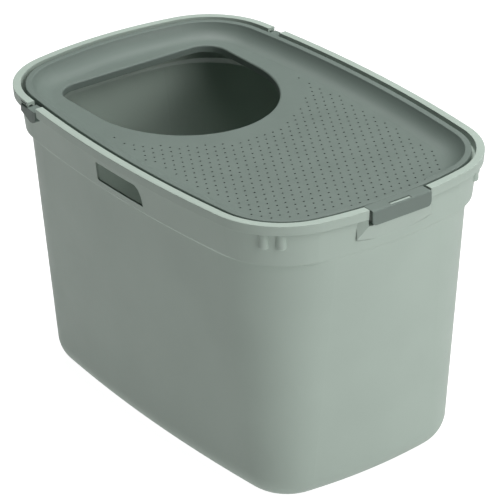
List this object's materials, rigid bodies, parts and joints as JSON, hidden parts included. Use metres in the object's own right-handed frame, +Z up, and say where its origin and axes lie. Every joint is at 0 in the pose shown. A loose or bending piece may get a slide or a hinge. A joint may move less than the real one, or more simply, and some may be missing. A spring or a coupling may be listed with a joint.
{
  "type": "cat litter box with hood",
  "caption": "Top-entry cat litter box: deep tapered tub with a dished, perforated lid hinged inside its rim, a D-shaped entry opening and a front latch flap.",
  "frame": {"origin": "centre of the flat base of the tub, on the surface it stands on", "axes": "+Z up, -Y towards the front latch, +Y towards the hinged end and the entry opening, X across"},
  "size_m": [0.3848, 0.5843, 0.38],
  "materials": {
    "tub_plastic": "satin moulded sage-green plastic",
    "lid_plastic": "satin moulded darker grey-green plastic"
  },
  "bodies": {
    "tub_body": {"tub": "tub_plastic", "hinge_clip_left": "lid_plastic", "hinge_clip_right": "lid_plastic"},
    "lid_body": {"lid": "lid_plastic"},
    "flap_body": {"latch_flap": "lid_plastic"}
  },
  "joints": [
    {"name": "lid_hinge", "type": "hinge", "parent": "tub_body", "child": "lid_body", "pos_m": [0, 0.166, 0.369], "axis": [-1, 0, 0], "range_deg": [0, 135]},
    {"name": "latch_flex", "type": "hinge", "parent": "lid_body", "child": "flap_body", "pos_m": [0, -0.2765, 0.3789], "axis": [-1, 0, 0], "range_deg": [0, 20], "stiffness_Nm_per_rad": 0.4}
  ]
}
